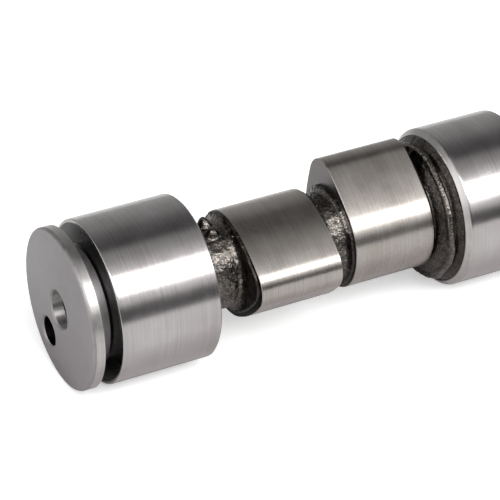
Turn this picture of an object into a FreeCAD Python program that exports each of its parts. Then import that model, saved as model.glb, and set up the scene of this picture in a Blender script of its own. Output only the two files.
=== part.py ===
import FreeCAD, Part
import math
import os
import Sketcher

# Camshaft for a four-cylinder, eight-valve overhead-cam engine, cast in one piece and ground.
# Five journals, each a little larger towards the thrust end, let it slide endways into its bearings.
# Z runs along the shaft from the thrust-end face; X is the side that faces up as the shaft lies.

CYLINDERS = 4
FIRING_ANGLES = (0, 270, 90, 180)

doc = FreeCAD.newDocument("camshaft")
sheet = doc.addObject("Spreadsheet::Sheet", "sizes")

sizes = {
    # Thrust end: a thin disc, a groove for the thrust plate, then the largest journal
    "disc_thickness": 3.2,
    "disc_dia": 40.2,
    "disc_chamfer": 0.7,
    "thrust_groove_width": 4.25,
    "thrust_groove_dia": 28.0,
    "thrust_journal_width": 25.55,
    "thrust_journal_dia": 40.44,
    "thrust_journal_chamfer": 0.4,
    # The other journals, each smaller than the one before it
    "journal_dia_step": 0.25,
    "journal_width": 21.8,
    "journal_chamfer": 1.3,
    "edge_break": 0.4,
    # Where the lobes and journals stand
    "cylinder_pitch": 86.0,
    "first_bay_centre": 69.3,
    "lobe_spacing": 28.5,
    "journal_offset": 41.7,
    # Cam lobes: a base circle, a small nose arc and two large flank arcs, all tangent. The first lobe
    # of a pair has less lift than the second, and rounder flanks
    "lobe_width": 21.7,
    "base_circle_dia": 26.7,
    "nose_arc": 6.2,
    "first_lift": 5.6,
    "first_flank_arc": 36.0,
    "first_lobe_angle": 84.5,
    "second_lift": 6.0,
    "second_flank_arc": 58.0,
    "lobe_separation": 105.7,
    # As-cast surfaces between the ground ones
    "neck_dia": 21.4,
    "neck_flare": 1.4,
    "cheek_height": 0.8,
    "cheek_inset": 0.7,
    "relief_dia": 25.6,
    "collar_ridge_dia": 33.2,
    "collar_slope_length": 2.9,
    "collar_step": 0.3,
    # Drive end: the oil-seal land and the sprocket's seat
    "seal_land_dia": 32.0,
    "seal_land_length": 26.0,
    "seal_land_chamfer": 1.0,
    "bolt_hole_dia": 8.5,
    "bolt_hole_depth": 32.0,
    "bolt_hole_mouth_dia": 11.0,
    "dowel_dia": 6.0,
    "dowel_shank_dia": 6.4,
    "dowel_length": 14.0,
    "dowel_seat_depth": 8.0,
    "dowel_chamfer": 0.6,
    "dowel_pitch_radius": 10.8,
    # Thrust-end face: a central bore and an offset drive hole
    "centre_bore_dia": 9.6,
    "centre_bore_depth": 24.0,
    "drive_hole_dia": 7.4,
    "drive_hole_depth": 11.0,
    "drive_hole_pitch_radius": 12.2,
    "drive_hole_angle": 214.0,
    "hole_chamfer": 0.4,
    "drill_point_angle": 118.0,
}

for row, (alias, value) in enumerate(sizes.items(), 1):
    sheet.set(f"A{row}", alias.replace("_", " "))
    sheet.set(f"B{row}", str(value))
    sheet.setAlias(f"B{row}", alias)
doc.recompute()


def number(text):
    """What the sheet makes of an expression, as a plain number."""
    value = sheet.evalExpression(text)
    return float(getattr(value, "Value", value))


def size(alias):
    return f"sizes.{alias}"


def half(alias):
    return f"sizes.{alias} / 2"


# Heights along the shaft, as expressions of the sheet
groove_start = "sizes.disc_thickness"
thrust_journal_start = f"({groove_start} + sizes.thrust_groove_width)"
thrust_journal_end = f"({thrust_journal_start} + sizes.thrust_journal_width)"


def bay_centre(bay):
    """Middle of a cylinder's pair of lobes, bay 0 being next to the thrust end."""
    return f"(sizes.first_bay_centre + {bay} * sizes.cylinder_pitch)"


def journal_span(bay):
    """Start and end of the journal on the drive-end side of a bay."""
    middle = f"({bay_centre(bay)} + sizes.journal_offset)"
    return f"({middle} - sizes.journal_width / 2)", f"({middle} + sizes.journal_width / 2)"


def lobe_span(bay, side):
    """Start and end of a lobe; side is -1 for the one nearer the thrust end and 1 for the other."""
    middle = f"({bay_centre(bay)} + {side} * sizes.lobe_spacing / 2)"
    return f"({middle} - sizes.lobe_width / 2)", f"({middle} + sizes.lobe_width / 2)"


last_journal_end = journal_span(CYLINDERS - 1)[1]
drive_face = f"({last_journal_end} + sizes.seal_land_length)"


def new_body(label):
    body = doc.addObject("PartDesign::Body", label)
    body.Label = label
    return body


def sketch_on(body, role, name):
    """A sketch on one of the body's own origin planes."""
    sketch = body.newObject("Sketcher::SketchObject", name)
    plane = next(p for p in body.Origin.OriginFeatures if getattr(p, "Role", "") == role)
    sketch.AttachmentSupport = [(plane, "")]
    sketch.MapMode = "FlatFace"
    return sketch


def bind(sketch, constraint, text):
    """Add a dimension and tie it to an expression."""
    index = sketch.addConstraint(constraint)
    sketch.setExpression(f"Constraints[{index}]", text)


def place_point(sketch, geometry, end, across, along):
    """Fix a point by its distances from the sketch's axes, or on an axis where the distance is nothing."""
    if across is None:
        sketch.addConstraint(Sketcher.Constraint("PointOnObject", geometry, end, -2))
    else:
        bind(sketch, Sketcher.Constraint("DistanceX", -1, 1, geometry, end, number(across)), across)
    if along is None:
        sketch.addConstraint(Sketcher.Constraint("PointOnObject", geometry, end, -1))
    else:
        bind(sketch, Sketcher.Constraint("DistanceY", -1, 1, geometry, end, number(along)), along)


def half_section(body, name, corners):
    """A closed half-section beside the shaft's axis. A corner is (radius, height); None is on the axis."""
    sketch = sketch_on(body, "XZ_Plane", name)
    points = [FreeCAD.Vector(number(r) if r else 0, number(z) if z else 0, 0) for r, z in corners]
    for i, point in enumerate(points):
        sketch.addGeometry(Part.LineSegment(point, points[(i + 1) % len(points)]))
    for i in range(len(points)):
        sketch.addConstraint(Sketcher.Constraint("Coincident", i, 2, (i + 1) % len(points), 1))
    for i, (radius, height) in enumerate(corners):
        place_point(sketch, i, 1, radius, height)
    return sketch


def about_axis(body, kind, name, sketch):
    """A full turn of a half-section about the shaft's axis, added or cut."""
    feature = body.newObject(kind, name)
    feature.Profile = sketch
    feature.ReferenceAxis = (sketch, ["V_Axis"])
    feature.Angle = 360
    sketch.Visibility = False
    return feature


def turned(body, name, corners):
    return about_axis(body, "PartDesign::Revolution", name, half_section(body, name + "_section", corners))


def turned_away(body, name, corners):
    return about_axis(body, "PartDesign::Groove", name, half_section(body, name + "_section", corners))


def cast_neck(body, name, start, end):
    """A neck between two faces: plain in the middle, and flared where it runs into each face."""
    root = f"{half('neck_dia')} + sizes.neck_flare"
    return turned(body, name, [
        (None, start),
        (root, start),
        (half("neck_dia"), f"{start} + sizes.neck_flare"),
        (half("neck_dia"), f"{end} - sizes.neck_flare"),
        (root, end),
        (None, end),
    ])


def cam_outline(body, name, height, angle, which, inset="0"):
    """The first or second lobe's outline across the shaft, its nose pointing at the given angle."""
    sketch = sketch_on(body, "XY_Plane", name)
    base_text = f"{half('base_circle_dia')} - {inset}"
    nose_text = f"sizes.nose_arc - {inset}"
    flank_text = f"sizes.{which}_flank_arc - {inset}"
    reach_text = f"{half('base_circle_dia')} + sizes.{which}_lift - sizes.nose_arc"
    base, nose, flank, reach = (number(t) for t in (base_text, nose_text, flank_text, reach_text))
    # The flank's centre lies at its own radius, less the other arc's, from each of the two centres
    from_base, from_nose = flank - base, flank - nose
    centre_x = (from_base ** 2 - from_nose ** 2 + reach ** 2) / (2 * reach)
    centre_y = math.sqrt(from_base ** 2 - centre_x ** 2)
    base_turn = math.atan2(centre_y, -centre_x)
    nose_turn = math.atan2(centre_y, reach - centre_x)
    up = FreeCAD.Vector(0, 0, 1)
    base_circle = Part.Circle(FreeCAD.Vector(0, 0, 0), up, base)
    nose_circle = Part.Circle(FreeCAD.Vector(reach, 0, 0), up, nose)
    left_circle = Part.Circle(FreeCAD.Vector(centre_x, -centre_y, 0), up, flank)
    right_circle = Part.Circle(FreeCAD.Vector(centre_x, centre_y, 0), up, flank)
    sketch.addGeometry(Part.ArcOfCircle(base_circle, base_turn, 2 * math.pi - base_turn))
    sketch.addGeometry(Part.ArcOfCircle(right_circle, 2 * math.pi - base_turn, 2 * math.pi - nose_turn))
    sketch.addGeometry(Part.ArcOfCircle(nose_circle, -nose_turn, nose_turn))
    sketch.addGeometry(Part.ArcOfCircle(left_circle, nose_turn, base_turn))
    for arc in range(4):
        sketch.addConstraint(Sketcher.Constraint("Tangent", arc, 2, (arc + 1) % 4, 1))
    sketch.addConstraint(Sketcher.Constraint("Coincident", 0, 3, -1, 1))
    place_point(sketch, 2, 3, reach_text, None)
    for arc, text in enumerate((base_text, flank_text, nose_text, flank_text)):
        bind(sketch, Sketcher.Constraint("Radius", arc, number(text)), text)
    sketch.setExpression("AttachmentOffset.Base.z", height)
    sketch.setExpression("AttachmentOffset.Rotation.Angle", f"({angle}) * 1 deg")
    return sketch


def pad(body, name, sketch, length):
    feature = body.newObject("PartDesign::Pad", name)
    feature.Profile = sketch
    feature.setExpression("Length", length)
    sketch.Visibility = False
    return feature


def cam_lobe(body, name, span, angle, which):
    """A ground lobe between its as-cast cheeks, which stand proud of it and lie inside its outline."""
    start = span[0]
    cheek_start = f"{start} - sizes.cheek_height"
    cast = cam_outline(body, name + "_cheek_outline", cheek_start, angle, which, "sizes.cheek_inset")
    pad(body, name + "_cheeks", cast, "sizes.lobe_width + 2 * sizes.cheek_height")
    ground = cam_outline(body, name + "_outline", start, angle, which)
    pad(body, name, ground, size("lobe_width"))


def plain_journal(body, name, span, diameter, collar_start):
    """A ground journal: a turned chamfer on its thrust side and a broken edge on the other. The cast
    collar before it climbs steeply to a ridge, then at a gentler slope to the foot of the chamfer."""
    start, end = span
    radius = f"({diameter}) / 2"
    turned(body, name + "_collar", [
        (None, collar_start),
        (f"{half('neck_dia')} + sizes.neck_flare", collar_start),
        (half("collar_ridge_dia"), f"{start} - sizes.collar_slope_length"),
        (f"{radius} - sizes.journal_chamfer - sizes.collar_step", start),
        (None, start),
    ])
    turned(body, name, [
        (None, start),
        (f"{radius} - sizes.journal_chamfer", start),
        (radius, f"{start} + sizes.journal_chamfer"),
        (radius, f"{end} - sizes.edge_break"),
        (f"{radius} - sizes.edge_break", end),
        (None, end),
    ])


def drilled(body, name, diameter, depth, mouth_chamfer, face, inward):
    """A blind drilled hole on the axis, with a chamfered mouth and the drill's cone at its bottom."""
    radius = half(diameter)
    bottom = f"{face} + ({inward}) * {depth}"
    point = f"{bottom} + ({inward}) * {radius} / tan(sizes.drill_point_angle / 2 * 1 deg)"
    return turned_away(body, name, [
        (None, face),
        (f"{radius} + {mouth_chamfer}", face),
        (radius, f"{face} + ({inward}) * {mouth_chamfer}"),
        (radius, bottom),
        (None, point),
    ])


def offset_hole(body, name, diameter, depth, face, inward, across, around):
    """A blind hole beside the axis, with its chamfered mouth, cut by two round pockets."""
    angle = f"({around}) * 1 deg"
    for suffix, radius, low, high in (
        ("", half(diameter), "0", depth),
        ("_mouth", f"{half(diameter)} + sizes.hole_chamfer", "0", "sizes.hole_chamfer"),
    ):
        sketch = sketch_on(body, "XY_Plane", name + suffix + "_circle")
        centre = FreeCAD.Vector(number(f"{across} * cos({angle})"), number(f"{across} * sin({angle})"), 0)
        sketch.addGeometry(Part.Circle(centre, FreeCAD.Vector(0, 0, 1), number(radius)))
        place_point(sketch, 0, 3, f"{across} * cos({angle})", f"{across} * sin({angle})")
        bind(sketch, Sketcher.Constraint("Radius", 0, number(radius)), radius)
        sketch.setExpression("AttachmentOffset.Base.z", face)
        pocket = body.newObject("PartDesign::Pocket", name + suffix)
        pocket.Profile = sketch
        pocket.Reversed = inward > 0
        pocket.setExpression("Length", high)
        if suffix:
            pocket.TaperAngle = -45
        sketch.Visibility = False


def removed_volume(body, cut):
    """Run a cutting step and make sure that it took metal away."""
    doc.recompute()
    before = body.Shape.Volume
    cut()
    doc.recompute()
    assert body.Shape.Volume < before - 1, "a cut removed nothing"


# The shaft, in the order in which the metal lies from the thrust end to the drive end
shaft = new_body("camshaft")

turned(shaft, "thrust_end", [
    (None, None),
    (f"{half('disc_dia')} - sizes.disc_chamfer", None),
    (half("disc_dia"), size("disc_chamfer")),
    (half("disc_dia"), groove_start),
    (half("thrust_groove_dia"), groove_start),
    (half("thrust_groove_dia"), thrust_journal_start),
    (f"{half('thrust_journal_dia')} - sizes.thrust_journal_chamfer", thrust_journal_start),
    (half("thrust_journal_dia"), f"{thrust_journal_start} + sizes.thrust_journal_chamfer"),
    (half("thrust_journal_dia"), f"{thrust_journal_end} - sizes.edge_break"),
    (f"{half('thrust_journal_dia')} - sizes.edge_break", thrust_journal_end),
    (None, thrust_journal_end),
])

journal_end = thrust_journal_end
for bay in range(CYLINDERS):
    cylinder = CYLINDERS - bay
    first, second = lobe_span(bay, -1), lobe_span(bay, 1)
    first_angle = f"sizes.first_lobe_angle + {FIRING_ANGLES[bay]}"
    cheek = size("cheek_height")
    cast_neck(shaft, f"neck_{cylinder}a", journal_end, f"{first[0]} - {cheek}")
    cam_lobe(shaft, f"lobe_{cylinder}a", first, first_angle, "first")
    cast_neck(shaft, f"neck_{cylinder}b", f"{first[1]} + {cheek}", f"{second[0]} - {cheek}")
    cam_lobe(shaft, f"lobe_{cylinder}b", second, f"{first_angle} - sizes.lobe_separation", "second")
    diameter = f"sizes.thrust_journal_dia - {bay + 1} * sizes.journal_dia_step"
    plain_journal(shaft, f"journal_{cylinder}", journal_span(bay), diameter, f"{second[1]} + {cheek}")
    journal_end = journal_span(bay)[1]
doc.recompute()


def relieve_between_lobes():
    """A facing cut between each pair of lobes bares a bright crescent on the noses' inner sides."""
    for bay in range(CYLINDERS):
        inner_start, inner_end = lobe_span(bay, -1)[1], lobe_span(bay, 1)[0]
        outside = f"{half('base_circle_dia')} + max(sizes.first_lift; sizes.second_lift) + 1"
        turned_away(shaft, f"relief_{CYLINDERS - bay}", [
            (half("relief_dia"), inner_start),
            (outside, inner_start),
            (outside, inner_end),
            (half("relief_dia"), inner_end),
        ])


removed_volume(shaft, relieve_between_lobes)

turned(shaft, "seal_land", [
    (None, last_journal_end),
    (half("seal_land_dia"), last_journal_end),
    (half("seal_land_dia"), f"{drive_face} - sizes.seal_land_chamfer"),
    (f"{half('seal_land_dia')} - sizes.seal_land_chamfer", drive_face),
    (None, drive_face),
])

mouth_step = "(sizes.bolt_hole_mouth_dia - sizes.bolt_hole_dia) / 2"
removed_volume(shaft, lambda: drilled(
    shaft, "bolt_hole", "bolt_hole_dia", "sizes.bolt_hole_depth", mouth_step, drive_face, -1))
removed_volume(shaft, lambda: drilled(
    shaft, "centre_bore", "centre_bore_dia", "sizes.centre_bore_depth", "sizes.hole_chamfer", "0", 1))
removed_volume(shaft, lambda: offset_hole(
    shaft, "drive_hole", "drive_hole_dia", "sizes.drive_hole_depth", "0", 1,
    "sizes.drive_hole_pitch_radius", "sizes.drive_hole_angle"))
removed_volume(shaft, lambda: offset_hole(
    shaft, "dowel_seat", "dowel_shank_dia", "sizes.dowel_seat_depth", drive_face, -1,
    "sizes.dowel_pitch_radius", "180"))

# The sprocket's stepped dowel. Its thicker shank is pressed into the seat in the drive-end face, up to
# the seat's chamfered mouth, where it tapers to the free end.
dowel = new_body("dowel_pin")
turned(dowel, "pin", [
    (None, None),
    (half("dowel_shank_dia"), None),
    (half("dowel_shank_dia"), "sizes.dowel_seat_depth - sizes.hole_chamfer"),
    (half("dowel_dia"), "sizes.dowel_seat_depth"),
    (half("dowel_dia"), "sizes.dowel_length - sizes.dowel_chamfer"),
    (f"{half('dowel_dia')} - sizes.dowel_chamfer", "sizes.dowel_length"),
    (None, "sizes.dowel_length"),
])
dowel.setExpression("Placement.Base.x", "-sizes.dowel_pitch_radius")
dowel.setExpression("Placement.Base.z", f"{drive_face} - sizes.dowel_seat_depth")
doc.recompute()

for item in doc.Objects:
    assert not {"Invalid", "Error"} & set(item.State), f"{item.Name} did not build: {item.State}"
for body in (shaft, dowel):
    assert not body.Shape.isNull() and body.Shape.isValid(), f"{body.Label} is not a sound solid"
    assert len(body.Shape.Solids) == 1, f"{body.Label} is not one solid"

os.makedirs("parts", exist_ok=True)
for body in (shaft, dowel):
    body.Shape.exportStep(f"parts/{body.Label}.step")
    box = body.Shape.BoundBox
    print(f"{body.Label}: {box.XLength:.2f} x {box.YLength:.2f} x {box.ZLength:.2f} mm,"
          f" {body.Shape.Volume / 1000:.2f} cm3")
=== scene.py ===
import math

import bmesh
import bpy
import numpy as np
from mathutils import Matrix, Vector, noise


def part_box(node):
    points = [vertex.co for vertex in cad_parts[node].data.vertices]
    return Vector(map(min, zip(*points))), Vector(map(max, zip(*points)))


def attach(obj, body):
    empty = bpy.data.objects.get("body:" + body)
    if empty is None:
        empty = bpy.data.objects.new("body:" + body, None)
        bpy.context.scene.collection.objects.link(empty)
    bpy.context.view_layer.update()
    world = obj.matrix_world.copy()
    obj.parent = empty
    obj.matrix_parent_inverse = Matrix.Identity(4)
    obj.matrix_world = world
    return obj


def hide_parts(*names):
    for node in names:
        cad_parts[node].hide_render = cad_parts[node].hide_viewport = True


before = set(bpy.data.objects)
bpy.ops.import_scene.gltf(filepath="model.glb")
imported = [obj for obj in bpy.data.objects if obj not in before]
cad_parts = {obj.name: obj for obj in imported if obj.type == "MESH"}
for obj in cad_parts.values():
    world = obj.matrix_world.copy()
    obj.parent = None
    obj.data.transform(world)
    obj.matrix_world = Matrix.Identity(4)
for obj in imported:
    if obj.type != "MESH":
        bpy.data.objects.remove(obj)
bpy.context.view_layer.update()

# A camshaft for a four-cylinder engine, cast in one piece and ground, lying on a pale table.
# Z runs along the shaft from its thrust end and X faces up as it lies. Sizes are in millimetres.
MM = 0.001
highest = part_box("camshaft")[1] / MM
THRUST_RADIUS = highest.x
DRIVE_FACE = highest.z


# The table that the shaft lies on: a sheet of matt white card, which the largest journal touches. It
# is white to the camera and keeps the shaft's soft shadow. Where the metal mirrors it, the card's
# colour is painted darker close to the shaft, a painted shadow of the shaft. Seen from below it isn't
# there, so that it hides nothing of the shaft's other side.
def linear(code):
    """An sRGB hex colour as the linear colour that a shader takes."""
    channels = (int(code[i:i + 2], 16) / 255 for i in (1, 3, 5))
    return tuple(c / 12.92 if c <= 0.04045 else ((c + 0.055) / 1.055) ** 2.4 for c in channels) + (1.0,)


def add(tree, kind, inputs=None, **settings):
    """Add a node with its settings, and set or link its inputs. The node is returned."""
    node = tree.nodes.new("ShaderNode" + kind)
    for name, value in settings.items():
        setattr(node, name, value)
    for socket, value in (inputs or {}).items():
        if isinstance(value, bpy.types.NodeSocket):
            tree.links.new(value, node.inputs[socket])
        else:
            node.inputs[socket].default_value = value
    return node


def new_material(name):
    """An empty material and its node tree."""
    material = bpy.data.materials.new(name)
    material.use_nodes = True
    material.node_tree.nodes.clear()
    return material, material.node_tree


TABLE_LENGTH = 3000
TABLE_BACK = -3000
TABLE_FRONT = 210
CARD_WHITE = "#F2F2F2"
# The card's colour close to the shaft where the metal mirrors it: a painted shadow
CARD_NEAR_PAINTED_SHADOW = "#CAC6C7"
NEAR_EDGE = 16
FAR_EDGE = 40
CARD_GLOW = 0.4

card, tree = new_material("white_card")
card_ray = add(tree, "LightPath")
glow_strength = add(tree, "Math", {
    0: card_ray.outputs["Is Camera Ray"], 1: CARD_GLOW}, operation="MULTIPLY")
# The painted shadow: along the shaft, fading out from NEAR_EDGE to FAR_EDGE beside it, glossy rays only
across = add(tree, "SeparateXYZ", {0: add(tree, "TexCoord").outputs["Object"]})
beside = add(tree, "MapRange", {
    "Value": across.outputs["Z"], "From Min": -NEAR_EDGE * MM, "From Max": 0.0})
apart = add(tree, "Math", {0: across.outputs["Y"]}, operation="ABSOLUTE")
close = add(tree, "MapRange", {
    "Value": apart.outputs[0], "From Min": NEAR_EDGE * MM, "From Max": FAR_EDGE * MM,
    "To Min": 1.0, "To Max": 0.0}, interpolation_type="SMOOTHSTEP")
near = add(tree, "Math", {0: close.outputs[0], 1: beside.outputs[0]}, operation="MULTIPLY")
mirrored = add(tree, "Math", {
    0: near.outputs[0], 1: card_ray.outputs["Is Glossy Ray"]}, operation="MULTIPLY")
shade = add(tree, "Mix", {
    0: mirrored.outputs[0], "A": linear(CARD_WHITE), "B": linear(CARD_NEAR_PAINTED_SHADOW)}, data_type="RGBA")
matt = add(tree, "BsdfDiffuse", {"Color": shade.outputs["Result"]})
glow = add(tree, "Emission", {"Color": (1, 1, 1, 1), "Strength": glow_strength.outputs[0]})
lit_card = add(tree, "AddShader", {0: matt.outputs[0], 1: glow.outputs[0]})
side = add(tree, "NewGeometry")
one_sided = add(tree, "MixShader", {
    0: side.outputs["Backfacing"], 1: lit_card.outputs[0], 2: add(tree, "BsdfTransparent").outputs[0]})
add(tree, "OutputMaterial", {"Surface": one_sided.outputs[0]})

table_mesh = bpy.data.meshes.new("table")
corners = (
    (TABLE_BACK, -TABLE_LENGTH), (TABLE_FRONT, -TABLE_LENGTH),
    (TABLE_FRONT, TABLE_LENGTH), (TABLE_BACK, TABLE_LENGTH))
table_mesh.from_pydata(
    [(-THRUST_RADIUS * MM, y * MM, z * MM) for y, z in corners], [], [(0, 1, 2, 3)])
table = bpy.data.objects.new("table", table_mesh)
table.data.materials.append(card)
bpy.context.scene.collection.objects.link(table)

# The light: one long softbox above the shaft on the camera's side, in a grey studio. Angles are
# turned about the shaft from straight up towards the camera's side, because every ground surface
# mirrors the studio by that angle alone. The gaps beside the softbox and behind the shaft are dark.
SOFTBOX_ANGLE = 46
SOFTBOX_SPREAD = 26
SOFTBOX_DISTANCE = 900
SOFTBOX_LENGTH = 2100
SOFTBOX_MIDDLE = 358
SOFTBOX_LEAN = 12
SOFTBOX_RADIANCE = 4.5
# The brightness of the walls at each angle
STUDIO = (
    (-180, 0.75), (-120, 0.54), (-100, 0.54), (-80, 0.50), (-50, 0.36), (-32, 0.17), (-10, 0.08),
    (-2, 0.42), (10, 0.51), (24, 1.0), (69, 1.0), (77, 0.11), (94, 0.10), (101, 0.95), (140, 0.9),
    (180, 0.75),
)
# The softbox leans, and the walls turn towards the drive end, so that the bands which they throw on
# the shaft move down its side that way. The start and end are a direction's share along the shaft.
LEAN_STARTS = 0.35
LEAN_ENDS = 0.60
WALLS_LEAN = 8.5
# A white reflector beyond the thrust end is what the chamfers facing that way mirror. It grows
# brighter up to its rise, which is a direction's share upwards.
REFLECTOR_STARTS = -0.74
REFLECTOR_FULL = -0.84
REFLECTOR_RISE = 0.25
REFLECTOR_LOW_SHARE = 0.3
REFLECTOR_BRIGHTNESS = 2.2

width = 2 * SOFTBOX_DISTANCE * math.tan(math.radians(SOFTBOX_SPREAD / 2))
lamp = bpy.data.lights.new("softbox", "AREA")
lamp.shape = "RECTANGLE"
lamp.size = width * MM
lamp.size_y = SOFTBOX_LENGTH * MM
lamp.energy = SOFTBOX_RADIANCE * math.pi * lamp.size * lamp.size_y
softbox = bpy.data.objects.new("softbox", lamp)
away = Vector((math.cos(math.radians(SOFTBOX_ANGLE)), math.sin(math.radians(SOFTBOX_ANGLE)), 0))
along = Vector((0, 0, 1))
softbox_place = away * SOFTBOX_DISTANCE + along * SOFTBOX_MIDDLE
leaning = Matrix.Rotation(-math.radians(SOFTBOX_LEAN), 3, away) @ along
softbox_turn = Matrix((leaning.cross(away), leaning, away)).transposed()
softbox.matrix_world = Matrix.Translation(softbox_place * MM) @ softbox_turn.to_4x4()
softbox.visible_camera = False
bpy.context.scene.collection.objects.link(softbox)

world = bpy.data.worlds.new("studio")
world.use_nodes = True
tree = world.node_tree
tree.nodes.clear()
direction = add(tree, "SeparateXYZ", {0: add(tree, "TexCoord").outputs["Generated"]})
turn = add(tree, "Math", {0: direction.outputs["Y"], 1: direction.outputs["X"]}, operation="ARCTAN2")
lean = add(tree, "MapRange", {
    "Value": direction.outputs["Z"], "From Min": LEAN_STARTS, "From Max": LEAN_ENDS,
    "To Max": math.radians(WALLS_LEAN)})
leant = add(tree, "Math", {0: turn.outputs[0], 1: lean.outputs[0]}, operation="SUBTRACT")
share = add(tree, "MapRange", {"Value": leant.outputs[0], "From Min": -math.pi, "From Max": math.pi})
walls = add(tree, "ValToRGB", {"Fac": share.outputs[0]})
for number, (angle, brightness) in enumerate(STUDIO):
    position = (angle + 180) / 360
    stops = walls.color_ramp.elements
    # A new ramp has two stops already
    stop = stops[number] if number < 2 else stops.new(position)
    stop.position = position
    stop.color = (brightness, brightness, brightness, 1)
beyond = add(tree, "MapRange", {
    "Value": direction.outputs["Z"], "From Min": REFLECTOR_STARTS, "From Max": REFLECTOR_FULL})
above = add(tree, "MapRange", {
    "Value": direction.outputs["X"], "From Min": 0.0, "From Max": REFLECTOR_RISE,
    "To Min": REFLECTOR_LOW_SHARE})
reflector = add(tree, "Math", {0: beyond.outputs[0], 1: above.outputs[0]}, operation="MULTIPLY")
studio = add(tree, "Mix", {
    0: reflector.outputs[0], "A": walls.outputs["Color"],
    "B": (REFLECTOR_BRIGHTNESS,) * 3 + (1,)}, data_type="RGBA")
world_ray = add(tree, "LightPath")
shown = add(tree, "Mix", {
    0: world_ray.outputs["Is Camera Ray"], "A": studio.outputs["Result"],
    "B": (1, 1, 1, 1)}, data_type="RGBA")
background = add(tree, "Background", {"Color": shown.outputs["Result"]})
add(tree, "OutputWorld", {"Surface": background.outputs[0]})
bpy.context.scene.world = world
bpy.context.scene.view_settings.view_transform = "Standard"

# The camera looks down on the thrust end with a long lens, turned from square-on towards that end.
# Its place, aim and lens were fitted to the photograph.
CAMERA_DISTANCE = 633.1
CAMERA_ELEVATION = 32.25
CAMERA_SWING = 27.04
CAMERA_ROLL = 0.2
CAMERA_AIM = Vector((-0.13, -2.99, 52.09))
LENS = 187.2
SENSOR = 36
FARTHEST_SEEN = 20000

elevation, swing = math.radians(CAMERA_ELEVATION), math.radians(CAMERA_SWING)
back = Vector((
    math.sin(elevation), math.cos(elevation) * math.cos(swing), -math.cos(elevation) * math.sin(swing)))
level = Vector((1, 0, 0)).cross(back).normalized()
right = Matrix.Rotation(-math.radians(CAMERA_ROLL), 3, back) @ level
lens = bpy.data.cameras.new("camera")
lens.lens = LENS
lens.sensor_width = SENSOR
lens.clip_end = FARTHEST_SEEN * MM
camera = bpy.data.objects.new("camera", lens)
camera_place = CAMERA_AIM + back * CAMERA_DISTANCE
camera_turn = Matrix((right, back.cross(right), back)).transposed()
camera.matrix_world = Matrix.Translation(camera_place * MM) @ camera_turn.to_4x4()
bpy.context.scene.collection.objects.link(camera)
bpy.context.scene.camera = camera

# The shaft is one iron casting. Its skin is made as rings of points from the bottom of one end's bore
# to the bottom of the other's, each band of faces with the finish that the real surface has there.
# A ring's radius may vary round the shaft, as it does on the lobes.
SEGMENTS = 192
around = np.arange(SEGMENTS) * 2 * math.pi / SEGMENTS
chains = []


def new_chain(segments=SEGMENTS):
    """Start a run of rings that isn't joined to the last one."""
    chains.append([])
    return np.arange(segments) * 2 * math.pi / segments


def ring(radius, height, finish=None, centre=(0, 0), turn=around):
    """Add a ring. The finish is that of the faces between the last ring and this one."""
    radius = np.broadcast_to(radius, turn.shape)
    height = np.broadcast_to(height, turn.shape)
    x, y = centre[0] + radius * np.cos(turn), centre[1] + radius * np.sin(turn)
    chains[-1].append((np.stack([x, y, height], axis=1) * MM, finish))


def rings(finish, *places):
    """Add several rings with one finish, each given by its radius and its height."""
    for radius, height in places:
        ring(radius, height, finish)


# The ground iron of the journals and lobes: chilled cast iron, ground round the shaft with a fine
# wheel. It mirrors the studio softly, more so along the shaft, and shows faint lines that run round
# it. The real lines are too fine to show, so these are drawn coarser.
GRIND_LINE = 0.35
GRIND_LENGTH = 30.0
LINE_DEPTH = 0.03
# The part of a noise's range over which the tone goes from dark to light, and the gloss to dull
TONE_STARTS, TONE_ENDS = 0.35, 0.65
GLOSS_STARTS, GLOSS_ENDS = 0.3, 0.7


def finish_of_iron(name, dark, light, roughness, line, length, relief, patch, along_shaft):
    """A cut iron surface with lines round the shaft, duller patches and a tone between two greys."""
    material, tree = new_material(name)
    place = add(tree, "TexCoord").outputs["Object"]
    stretch = add(tree, "Mapping", {
        "Vector": place, "Scale": (1 / (length * MM), 1 / (length * MM), 1 / (line * MM))})
    lines = add(tree, "TexNoise", {
        "Vector": stretch.outputs[0], "Scale": 1.0, "Detail": 3.0, "Roughness": 0.6})
    patches = add(tree, "TexNoise", {
        "Vector": place, "Scale": 1 / (patch * MM), "Detail": 4.0, "Roughness": 0.6})
    mixed = add(tree, "Mix", {0: 0.5, 2: lines.outputs["Fac"], 3: patches.outputs["Fac"]})
    tone = add(tree, "ValToRGB", {"Fac": mixed.outputs[0]})
    tone.color_ramp.elements[0].position = TONE_STARTS
    tone.color_ramp.elements[0].color = linear(dark)
    tone.color_ramp.elements[1].position = TONE_ENDS
    tone.color_ramp.elements[1].color = linear(light)
    gloss = add(tree, "MapRange", {
        "Value": patches.outputs["Fac"], "From Min": GLOSS_STARTS, "From Max": GLOSS_ENDS,
        "To Min": roughness[0], "To Max": roughness[1]})
    bumps = add(tree, "Bump", {
        "Height": mixed.outputs[0], "Strength": relief, "Distance": LINE_DEPTH * MM})
    shader = add(tree, "BsdfPrincipled", {
        "Base Color": tone.outputs["Color"], "Metallic": 1.0, "Roughness": gloss.outputs[0],
        "Normal": bumps.outputs[0], "Anisotropic": along_shaft,
        "Tangent": add(tree, "CombineXYZ", {"Z": 1.0}).outputs[0]})
    add(tree, "OutputMaterial", {"Surface": shader.outputs[0]})
    return material


ground_iron = finish_of_iron(
    "ground_chilled_iron", "#A19C9B", "#B4B1B1", roughness=(0.19, 0.25), line=GRIND_LINE,
    length=GRIND_LENGTH, relief=0.025, patch=9.0, along_shaft=0.4)

# The turned iron of the end faces, the groove's floor and the broken edges: cut on a lathe and then
# worn to an even satin grey with a slight mottle. The disc's rim and the journals' chamfers shine
# more. The lathe's lines are drawn coarser than the real ones.
LATHE_LINE = 0.5
LATHE_LENGTH = 40.0

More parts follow.
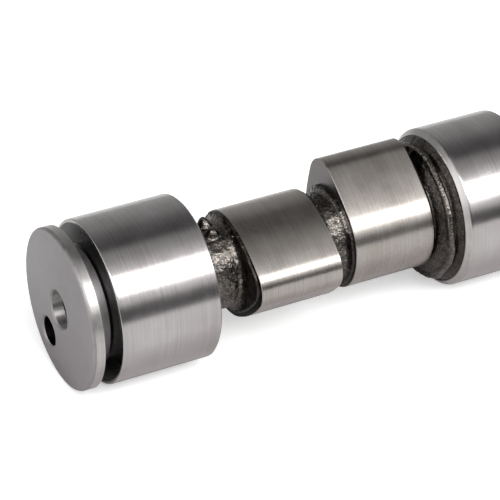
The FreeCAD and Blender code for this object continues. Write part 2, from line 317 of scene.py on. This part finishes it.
turned_iron = finish_of_iron(
    "turned_cast_iron", "#8A8687", "#9C999A", roughness=(0.44, 0.56), line=LATHE_LINE,
    length=LATHE_LENGTH, relief=0.10, patch=1.6, along_shaft=0.0)
bevel_iron = finish_of_iron(
    "turned_bevel_iron", "#A19E9C", "#B7B4B2", roughness=(0.28, 0.36), line=LATHE_LINE,
    length=LATHE_LENGTH, relief=0.10, patch=3.0, along_shaft=0.0)

# The drilled wall near the mouth of the central bore: rough along the bore from the drill's turns, so
# that it catches the softbox that stands outside, and painted light there, a painted highlight of the
# softbox's light. Deeper down, in the two holes beside the axis, on the groove's walls and on the
# lobes' edges beside the cheeks, the iron is painted dark, a painted shade of these recesses.
DRILLED_LENGTH = 12.0

drilled_iron_painted_light = finish_of_iron(
    "drilled_cast_iron_painted_light", "#B4B1AF", "#CCC9C7", roughness=(0.40, 0.46), line=LATHE_LINE,
    length=DRILLED_LENGTH, relief=0.25, patch=1.2, along_shaft=1.0)
recess_iron_painted_shade = finish_of_iron(
    "turned_iron_painted_shade", "#2E2C2B", "#454241", roughness=(0.26, 0.36), line=LATHE_LINE,
    length=DRILLED_LENGTH, relief=0.15, patch=2.0, along_shaft=0.3)

# The lobes are ground like the journals but have yellowed a little with old oil. The sides that the
# facing cut has left are painted darker than the shaft's end, a painted shade between the lobes.
lobe_iron = finish_of_iron(
    "ground_lobe_iron", "#96908A", "#ACA7A3", roughness=(0.24, 0.31), line=GRIND_LINE,
    length=GRIND_LENGTH, relief=0.045, patch=9.0, along_shaft=0.4)
faced_iron_painted_shade = finish_of_iron(
    "faced_cast_iron_painted_shade", "#686564", "#7D7A79", roughness=(0.28, 0.40), line=LATHE_LINE,
    length=LATHE_LENGTH, relief=0.12, patch=1.6, along_shaft=0.0)

# The as-cast iron of the necks, collars and lobes' cheeks: the sand mould's pebbled skin under a
# black scale. The necks have a film of oil, and the tops of the grains are lighter, partly worn
# bright and partly a painted glint, so that they sparkle wherever they mirror the softbox. The grains
# are drawn a little coarser than real ones.
SAND_GRAIN = 0.5
STAIN = 4
SCALE_STARTS, SCALE_ENDS = 0.38, 0.62
RUBBED_AND_GLINT_STARTS, RUBBED_AND_GLINT_ENDS = 0.5, 0.65


def cast_skin(name, dark, light, rubbed_and_glint, roughness, relief):
    """The pebbled skin, its scale between two tones and its highest grains in a lighter third, wear and
    painted glint.
    """
    material, tree = new_material(name)
    place = add(tree, "TexCoord").outputs["Object"]
    grain = add(tree, "TexNoise", {"Vector": place, "Scale": 1 / (SAND_GRAIN * MM), "Detail": 1.5})
    stain = add(tree, "TexNoise", {"Vector": place, "Scale": 1 / (STAIN * MM), "Detail": 3.0})
    scale = add(tree, "ValToRGB", {"Fac": stain.outputs["Fac"]})
    scale.color_ramp.elements[0].position = SCALE_STARTS
    scale.color_ramp.elements[0].color = linear(dark)
    scale.color_ramp.elements[1].position = SCALE_ENDS
    scale.color_ramp.elements[1].color = linear(light)
    # The highest grains take the lighter tone: worn bright, and a painted glint
    tops = add(tree, "MapRange", {
        "Value": grain.outputs["Fac"], "From Min": RUBBED_AND_GLINT_STARTS, "From Max": RUBBED_AND_GLINT_ENDS})
    tone = add(tree, "Mix", {
        0: tops.outputs[0], "A": scale.outputs["Color"], "B": linear(rubbed_and_glint)}, data_type="RGBA")
    gloss = add(tree, "MapRange", {
        "Value": stain.outputs["Fac"], "From Min": GLOSS_STARTS, "From Max": GLOSS_ENDS,
        "To Min": roughness[0], "To Max": roughness[1]})
    bumps = add(tree, "Bump", {"Height": grain.outputs["Fac"], "Strength": 1.0, "Distance": relief * MM})
    shader = add(tree, "BsdfPrincipled", {
        "Base Color": tone.outputs["Result"], "Metallic": 1.0, "Roughness": gloss.outputs[0],
        "Normal": bumps.outputs[0]})
    add(tree, "OutputMaterial", {"Surface": shader.outputs[0]})
    return material


# The skin of the necks and of the beads on the collars, of the collars' lower slopes, and of the
# cheeks and the collars' upper slopes, from the brightest to the dullest. The two duller ones are the
# same skin painted darker, a painted shade on the collars' slopes and the cheeks.
cast_iron = cast_skin(
    "as_cast_iron", "#4A4744", "#5C5752", rubbed_and_glint="#7C7773", roughness=(0.2, 0.3), relief=0.13)
collar_iron_painted_shade = cast_skin(
    "dull_cast_iron_painted_shade", "#3C3937", "#4E4945", rubbed_and_glint="#67625E", roughness=(0.26, 0.36), relief=0.13)
scaled_iron_painted_shade = cast_skin(
    "scaled_cast_iron_painted_shade", "#302D2C", "#423D3A", rubbed_and_glint="#4C4744", roughness=(0.3, 0.42), relief=0.14)

# The thrust end: a central bore and an offset drive hole in a turned face, a thin disc, the groove
# in which the thrust plate runs, and the largest journal. All of it is cut from the casting, and
# handling has rounded the edges of the disc and of the journal.
BORE_RADIUS = 4.8
BORE_DEPTH = 24.0
# How deep the bore's mouth is painted light; below it the wall is painted dark, a painted shade
BORE_PAINTED_LIGHT_DEPTH = 3.0
HOLE_CHAMFER = 0.4
DRILL_POINT_ANGLE = 118
DRILL_SLOPE = math.tan(math.radians(DRILL_POINT_ANGLE / 2))
CHISEL_RADIUS = 0.3
DISC_RADIUS = 19.9
DISC_ROUNDING = 0.7
DISC_THICKNESS = 3.2
GROOVE_RADIUS = 14.0
GROOVE_END = 7.45
GROOVE_CORNER = 0.4
JOURNAL_ROUNDING = 0.4
THRUST_END = 33.0
ROUNDING_RINGS = 6
EDGE_BREAK = 0.4
FINE_BREAK = 0.12
# A ring this far beyond an edge keeps the edge's shading off the band of faces beside it
HOLD = 0.2


def rounded_edge(radius, height, rounding, finish):
    """An outer edge rounded off from a lower end face to the cylinder, and the ring beyond it."""
    for bend in np.radians(np.linspace(0, 90, ROUNDING_RINGS)):
        ring(radius - rounding * (1 - math.sin(bend)), height + rounding * (1 - math.cos(bend)), finish)
    ring(radius, height + rounding + HOLD, finish)


new_chain()
ring(CHISEL_RADIUS, BORE_DEPTH + (BORE_RADIUS - CHISEL_RADIUS) / DRILL_SLOPE)
rings(recess_iron_painted_shade, (BORE_RADIUS, BORE_DEPTH), (BORE_RADIUS, BORE_PAINTED_LIGHT_DEPTH))
rings(drilled_iron_painted_light, (BORE_RADIUS, HOLE_CHAMFER))
rings(turned_iron, (BORE_RADIUS + HOLE_CHAMFER, 0))

new_chain()
rounded_edge(DISC_RADIUS, 0, DISC_ROUNDING, turned_iron)
rings(bevel_iron, (DISC_RADIUS, DISC_THICKNESS - FINE_BREAK), (DISC_RADIUS - FINE_BREAK, DISC_THICKNESS))
rings(
    recess_iron_painted_shade, (GROOVE_RADIUS + GROOVE_CORNER, DISC_THICKNESS),
    (GROOVE_RADIUS, DISC_THICKNESS + GROOVE_CORNER))
rings(turned_iron, (GROOVE_RADIUS, GROOVE_END - GROOVE_CORNER))
rings(
    recess_iron_painted_shade, (GROOVE_RADIUS + GROOVE_CORNER, GROOVE_END),
    (THRUST_RADIUS - 2 * JOURNAL_ROUNDING, GROOVE_END))
rounded_edge(THRUST_RADIUS, GROOVE_END, JOURNAL_ROUNDING, ground_iron)
ring(THRUST_RADIUS, THRUST_END - EDGE_BREAK, ground_iron)
ring(THRUST_RADIUS - EDGE_BREAK, THRUST_END, turned_iron)

# The necks: the waist of the casting between the ground parts, as the sand left it. Each runs into
# the faces beside it with a small flare, and the casting lies a little above the axis on which the
# shaft was ground. The rings are close together, so that the skin can be pebbled later.
NECK_RADIUS = 10.7
NECK_FLARE = 1.4
NECK_ROOT = NECK_RADIUS + NECK_FLARE
CAST_STEP = 0.4
CAST_SHIFT = (0.6, 0.0)


def neck(start, end):
    """A neck from one face to the next, rounded where it flares."""
    steps = round((end - start) / CAST_STEP)
    for height in np.linspace(start, end, steps + 1):
        from_face = min(height - start, end - height) / NECK_FLARE
        flare = NECK_FLARE * (1 - math.sqrt(1 - (1 - from_face) ** 2)) if from_face < 1 else 0
        ring(NECK_RADIUS + flare, height, cast_iron, CAST_SHIFT)


# The cam lobes: a base circle, two flanks and a nose, ground all round. The casting shows as a
# rounded cheek on each side. Between the two lobes of a pair a facing cut has taken the cheeks off
# down to a little under the base circle, which leaves a bright crescent on each nose.
BASE_RADIUS = 13.35
NOSE_ARC = 6.2
LOBE_WIDTH = 21.7
LOBE_SPACING = 28.5
CHEEK_HEIGHT = 0.8
CHEEK_INSET = 0.7
# How much lower a cast nose is than its inset alone would make it
CHEEK_NOSE_DROP = 0.6
# The rings of a cheek: on its flat, each one's share of the way out, and at its edge, how far beyond
# the outline each one lies and its share of the cheek's height
CHEEK_FLAT = (0.2, 0.4, 0.6, 0.8)
CHEEK_EDGE = ((-0.6, 1.0), (-0.25, 0.92), (-0.07, 0.7), (0.0, 0.4), (0.0, 0.05))
RELIEF_RADIUS = 12.8
RELIEF_EDGE = ((-0.25, 1.0), (0.0, 0.6), (0.0, 0.0))


def cam_radius(cam, inset=0.0):
    """The lobe's radius at each of the ring's points: nose arc, flanks or base circle."""
    nose_angle, lift, flank_arc = cam
    turn = np.abs((around - math.radians(nose_angle) + math.pi) % (2 * math.pi) - math.pi)
    base, nose, flank = BASE_RADIUS - inset, NOSE_ARC - inset, flank_arc - inset
    reach = BASE_RADIUS + lift - NOSE_ARC
    # The flank's centre lies at its own radius, less the other arc's, from each of the two centres
    across = ((flank_arc - BASE_RADIUS) ** 2 - (flank_arc - NOSE_ARC) ** 2 + reach ** 2) / (2 * reach)
    beyond = math.sqrt((flank_arc - BASE_RADIUS) ** 2 - across ** 2)
    flank_starts = math.pi - math.atan2(beyond, across)
    nose_turn = math.atan2(beyond, reach - across)
    nose_ends = math.atan2(nose * math.sin(nose_turn), reach + nose * math.cos(nose_turn))
    on_nose = reach * np.cos(turn) + np.sqrt(np.maximum(nose ** 2 - (reach * np.sin(turn)) ** 2, 0))
    beside = across * np.cos(turn) - beyond * np.sin(turn)
    on_flank = beside + np.sqrt(beside ** 2 - across ** 2 - beyond ** 2 + flank ** 2)
    return np.where(turn > flank_starts, base, np.where(turn < nose_ends, on_nose, on_flank))


def cheek(edge, outline, way):
    """An as-cast cheek from the neck out to the lobe's side; way is -1 below a lobe and 1 above."""
    crest = outline + CHEEK_EDGE[0][0]
    flat = [(NECK_ROOT + (crest - NECK_ROOT) * share, 1.0) for share in CHEEK_FLAT]
    steps = flat + [(outline + outward, share) for outward, share in CHEEK_EDGE]
    for radius, share in steps if way < 0 else reversed(steps):
        ring(np.maximum(radius, NECK_ROOT), edge + way * share * CHEEK_HEIGHT, scaled_iron_painted_shade, CAST_SHIFT)


def relieved_cheek(edge, outline, way):
    """What the facing cut leaves of a cheek: a step down to the relief radius."""
    foot = np.minimum(outline, RELIEF_RADIUS)
    steps = [(foot + outward, share) for outward, share in RELIEF_EDGE]
    for radius, share in steps if way < 0 else reversed(steps):
        finish = faced_iron_painted_shade if way > 0 and share == 0 else scaled_iron_painted_shade
        ring(radius, edge + way * share * CHEEK_HEIGHT, finish)


def lobe(middle, cam, relieved_side):
    """One lobe with its two cheeks; relieved_side is -1 or 1, the side with the facing cut."""
    start, end = middle - LOBE_WIDTH / 2, middle + LOBE_WIDTH / 2
    nose_angle, lift, flank_arc = cam
    ground = cam_radius(cam)
    outline = cam_radius((nose_angle, lift - CHEEK_NOSE_DROP, flank_arc), CHEEK_INSET)
    (relieved_cheek if relieved_side < 0 else cheek)(start, outline, -1)
    ring(ground - FINE_BREAK, start, faced_iron_painted_shade if relieved_side < 0 else recess_iron_painted_shade)
    ring(ground, start + FINE_BREAK, lobe_iron)
    ring(ground, end - FINE_BREAK, lobe_iron)
    ring(ground - FINE_BREAK, end, lobe_iron)
    (relieved_cheek if relieved_side > 0 else cheek)(end, outline, 1)


# The journals: ground bearings, each 0.25 mm smaller across than the one before it. On the thrust
# side each has a turned chamfer, and before that a cast collar that climbs to a ridge and then more
# gently. A wavy bead of cast iron runs along the ridge.
JOURNAL_STEP = 0.125
JOURNAL_WIDTH = 21.8
JOURNAL_CHAMFER = 1.3
RIDGE_RADIUS = 16.6
SLOPE_LENGTH = 2.9
COLLAR_STEP = 0.3
SLOPE_RINGS = 6
LOWER_SLOPE = (0.15, 0.85)
UPPER_SLOPE_BEND = 0.7
# The bead's rings, each by its place along the shaft from the ridge and its share of the height
BEAD_SECTION = (
    (-0.6, 0.2), (-0.35, 0.65), (0.0, 0.95), (0.35, 1.0), (0.7, 0.8), (1.0, 0.3), (1.2, -0.3))
BEAD_HEIGHT = 0.8
# How closely the bead's waves follow each other, how much they swell it, and how far it wanders
BEAD_WAVES = 2.2
BEAD_WAVE_ALONG = 9
BEAD_SWELL = 0.8
BEAD_WANDER = 0.4


def collar(start, end, journal_radius):
    """The cast rise from a lobe's cheek to a journal's face, with a wavy bead along its ridge."""
    foot, top = NECK_ROOT, journal_radius - JOURNAL_CHAMFER - COLLAR_STEP
    ridge = end - SLOPE_LENGTH
    wave = np.array([
        noise.noise((BEAD_WAVES * math.cos(turn), BEAD_WAVES * math.sin(turn), end / BEAD_WAVE_ALONG))
        for turn in around])
    bead = BEAD_HEIGHT * (1 + BEAD_SWELL * wave)
    for share in np.linspace(*LOWER_SLOPE, SLOPE_RINGS):
        ring(foot + (RIDGE_RADIUS - foot) * share, start + (ridge - start) * share, collar_iron_painted_shade)
    for along, height in BEAD_SECTION:
        ring(RIDGE_RADIUS + bead * height, ridge + along + BEAD_WANDER * wave, cast_iron)
    for share in np.linspace(0.5, 1, SLOPE_RINGS):
        climb = (2 * share - 1) ** UPPER_SLOPE_BEND
        ring(RIDGE_RADIUS + (top - RIDGE_RADIUS) * climb, ridge + SLOPE_LENGTH * share, scaled_iron_painted_shade)


def journal(start, radius):
    """A journal with its chamfer and its broken far edge. The height of its far face is returned."""
    end = start + JOURNAL_WIDTH
    ring(radius - JOURNAL_CHAMFER, start, scaled_iron_painted_shade)
    for inward in (JOURNAL_CHAMFER - HOLD, FINE_BREAK + HOLD, FINE_BREAK):
        ring(radius - inward, start + JOURNAL_CHAMFER - inward, bevel_iron)
    for onward in (FINE_BREAK, FINE_BREAK + HOLD):
        ring(radius, start + JOURNAL_CHAMFER + onward, ground_iron)
    ring(radius, end - EDGE_BREAK, ground_iron)
    ring(radius - EDGE_BREAK, end, turned_iron)
    return end


# The four bays, one to a cylinder: neck, lobe, neck, lobe, collar and journal. The noses follow the
# firing order, and the two lobes of a bay stand at a fixed angle to each other.
CYLINDER_PITCH = 86.0
FIRST_BAY = 69.3
JOURNAL_OFFSET = 41.7
FIRING_ANGLES = (0, 270, 90, 180)
LOBE_SEPARATION = 105.7
FIRST_NOSE, FIRST_LIFT, FIRST_FLANK = 84.5, 5.6, 36.0
SECOND_NOSE, SECOND_LIFT, SECOND_FLANK = FIRST_NOSE - LOBE_SEPARATION, 6.0, 58.0

journal_end = THRUST_END
for bay, firing in enumerate(FIRING_ANGLES):
    centre = FIRST_BAY + bay * CYLINDER_PITCH
    first, second = centre - LOBE_SPACING / 2, centre + LOBE_SPACING / 2
    journal_start = centre + JOURNAL_OFFSET - JOURNAL_WIDTH / 2
    radius = THRUST_RADIUS - (bay + 1) * JOURNAL_STEP
    reach = LOBE_WIDTH / 2 + CHEEK_HEIGHT
    neck(journal_end, first - reach)
    lobe(first, (FIRST_NOSE + firing, FIRST_LIFT, FIRST_FLANK), 1)
    neck(first + reach, second - reach)
    lobe(second, (SECOND_NOSE + firing, SECOND_LIFT, SECOND_FLANK), -1)
    collar(second + reach, journal_start, radius)
    journal_end = journal(journal_start, radius)

# The drive end: the land that the oil seal runs on and the belt sprocket sits on, a turned face, and
# a threaded hole for the sprocket's bolt.
LAND_RADIUS = 16.0
LAND_CHAMFER = 1.0
LAND_CORNER = 0.2
BOLT_RADIUS = 4.25
BOLT_DEPTH = 32.0
THREAD_PITCH = 1.5
THREAD_DEPTH = 0.75
THREAD_LENGTH = 24.0
THREAD_STEPS = 6
MOUTH_RADIUS = 5.5

rings(
    turned_iron, (LAND_RADIUS + LAND_CORNER, journal_end), (LAND_RADIUS, journal_end + LAND_CORNER))
ring(LAND_RADIUS, DRIVE_FACE - LAND_CHAMFER, ground_iron)
ring(LAND_RADIUS - LAND_CHAMFER, DRIVE_FACE, turned_iron)

new_chain()
mouth_depth = MOUTH_RADIUS - BOLT_RADIUS
ring(MOUTH_RADIUS, DRIVE_FACE)
for height in np.arange(mouth_depth, THREAD_LENGTH, THREAD_PITCH / THREAD_STEPS):
    phase = (height / THREAD_PITCH - around / (2 * math.pi)) % 1
    groove = THREAD_DEPTH * (1 - np.abs(2 * phase - 1))
    runs_out = min(1.0, (THREAD_LENGTH - height) / THREAD_PITCH)
    ring(BOLT_RADIUS + groove * runs_out, DRIVE_FACE - height, turned_iron)
rings(
    turned_iron, (BOLT_RADIUS, DRIVE_FACE - THREAD_LENGTH), (BOLT_RADIUS, DRIVE_FACE - BOLT_DEPTH),
    (CHISEL_RADIUS, DRIVE_FACE - BOLT_DEPTH - (BOLT_RADIUS - CHISEL_RADIUS) / DRILL_SLOPE))

# The two holes beside the axis: the drive hole in the thrust-end face, which a drill has left with
# a cone at its bottom, and the dowel's seat in the drive-end face.
HOLE_SEGMENTS = 64
DRIVE_HOLE_RADIUS = 3.7
DRIVE_HOLE_DEPTH = 11.0
DRIVE_HOLE_PITCH = 12.2
DRIVE_HOLE_ANGLE = math.radians(214)
DOWEL_PITCH = 10.8
DOWEL_SEAT_RADIUS = 3.2
DOWEL_SEAT_DEPTH = 8.0


def offset_hole(centre, radius, face, depth, way, bottom):
    """A hole from its chamfered mouth to its bottom; way is 1 where it runs up from its face."""
    turn = new_chain(HOLE_SEGMENTS)
    for across, down, finish in (
            (radius + HOLE_CHAMFER, 0, None), (radius, HOLE_CHAMFER, turned_iron),
            (radius, depth, recess_iron_painted_shade), (CHISEL_RADIUS, bottom, recess_iron_painted_shade)):
        ring(across, face + way * down, finish, centre, turn)


drive_hole = (
    DRIVE_HOLE_PITCH * math.cos(DRIVE_HOLE_ANGLE), DRIVE_HOLE_PITCH * math.sin(DRIVE_HOLE_ANGLE))
drive_cone = (DRIVE_HOLE_RADIUS - CHISEL_RADIUS) / DRILL_SLOPE
offset_hole(drive_hole, DRIVE_HOLE_RADIUS, 0, DRIVE_HOLE_DEPTH, 1, DRIVE_HOLE_DEPTH + drive_cone)
offset_hole((-DOWEL_PITCH, 0), DOWEL_SEAT_RADIUS, DRIVE_FACE, DOWEL_SEAT_DEPTH, -1, DOWEL_SEAT_DEPTH)

# The casting is made whole: faces between the rings, the flat end faces round their holes, and the
# bottoms of the bores. Then the cast skin is pebbled, and the machined edges are kept crisp.
PEBBLE = 1.1
PEBBLE_HEIGHT = 0.16
PEBBLE_FALL, PEBBLE_STEP, PEBBLE_LAYERS = 0.9, 2.0, 3
WAVE = 6.0
WAVE_HEIGHT = 0.22
# The lumps on the first neck, each by its height along the shaft, angle, radius and rise
LUMPS = ((39.1, -9, 1.7, 2.3), (39.1, 12, 1.6, 1.9))
LUMP_BEND = 0.7
CRISP_ANGLE = math.radians(28)

finishes = [
    ground_iron, turned_iron, cast_iron, drilled_iron_painted_light, recess_iron_painted_shade, lobe_iron, faced_iron_painted_shade, bevel_iron,
    collar_iron_painted_shade, scaled_iron_painted_shade]
bm = bmesh.new()
ends = []
for chain in chains:
    loops = [[bm.verts.new(point) for point in points] for points, finish in chain]
    for (points, finish), last, this in zip(chain[1:], loops, loops[1:]):
        for i in range(len(this)):
            j = (i + 1) % len(this)
            quad = bm.faces.new((last[i], last[j], this[j], this[i]))
            quad.material_index = finishes.index(finish)
    ends.append((loops[0], loops[-1]))

bore, outside, bolt_hole, drive, seat = ends
for bottom in (bore[0], bolt_hole[1], drive[1], seat[1]):
    bm.faces.new(bottom).material_index = finishes.index(turned_iron)
for rims in ((outside[0], bore[1], drive[0]), (outside[1], bolt_hole[0], seat[0])):
    edges = [bm.edges.get((rim[i - 1], rim[i])) for rim in rims for i in range(len(rim))]
    filled = bmesh.ops.triangle_fill(bm, use_beauty=True, edges=edges)
    for item in filled["geom"]:
        if isinstance(item, bmesh.types.BMFace):
            item.material_index = finishes.index(turned_iron)
bmesh.ops.recalc_face_normals(bm, faces=bm.faces)
bm.normal_update()

cast = {finishes.index(finish) for finish in (cast_iron, collar_iron_painted_shade, scaled_iron_painted_shade)}
skin = [v for v in bm.verts if all(f.material_index in cast for f in v.link_faces)]
raised = []
for v in skin:
    place = v.co / MM
    pebbles = noise.fractal(place / PEBBLE, PEBBLE_FALL, PEBBLE_STEP, PEBBLE_LAYERS)
    height = pebbles * PEBBLE_HEIGHT + noise.noise(place / WAVE) * WAVE_HEIGHT
    for along, angle, radius, rise in LUMPS:
        turned = math.atan2(place.y, place.x) - math.radians(angle)
        apart = math.hypot(place.z - along, NECK_RADIUS * turned) / radius
        if apart < 1:
            height += rise * (1 - apart ** 2) ** LUMP_BEND
    raised.append(v.co + v.normal * height * MM)
for v, place in zip(skin, raised):
    v.co = place
bm.normal_update()
for face in bm.faces:
    face.smooth = True
for edge in bm.edges:
    machined = any(f.material_index not in cast for f in edge.link_faces)
    edge.smooth = not (machined and edge.calc_face_angle(0) > CRISP_ANGLE)

mesh = bpy.data.meshes.new("camshaft_casting")
bm.to_mesh(mesh)
bm.free()
for finish in finishes:
    mesh.materials.append(finish)
casting = bpy.data.objects.new("camshaft_casting", mesh)
bpy.context.scene.collection.objects.link(casting)
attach(casting, "root")
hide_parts("camshaft")

# The dowel that turns the belt sprocket: a hardened steel pin, ground bright all round and pressed
# into its seat. The wheel's lines run round it, and are drawn coarser than the real ones.
DOWEL_LINE = 0.2
DOWEL_LINE_LENGTH = 8

dowel_steel, tree = new_material("ground_dowel_steel")
place = add(tree, "TexCoord").outputs["Object"]
stretch = add(tree, "Mapping", {
    "Vector": place,
    "Scale": (1 / (DOWEL_LINE_LENGTH * MM), 1 / (DOWEL_LINE_LENGTH * MM), 1 / (DOWEL_LINE * MM))})
lines = add(tree, "TexNoise", {"Vector": stretch.outputs[0], "Scale": 1.0, "Detail": 2.0})
tone = add(tree, "ValToRGB", {"Fac": lines.outputs["Fac"]})
tone.color_ramp.elements[0].color = linear("#B4B4B6")
tone.color_ramp.elements[1].color = linear("#CCCCCE")
gloss = add(tree, "MapRange", {"Value": lines.outputs["Fac"], "To Min": 0.14, "To Max": 0.3})
shader = add(tree, "BsdfPrincipled", {
    "Base Color": tone.outputs["Color"], "Metallic": 1.0, "Roughness": gloss.outputs[0]})
add(tree, "OutputMaterial", {"Surface": shader.outputs[0]})
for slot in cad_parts["dowel_pin"].material_slots:
    slot.material = dowel_steel
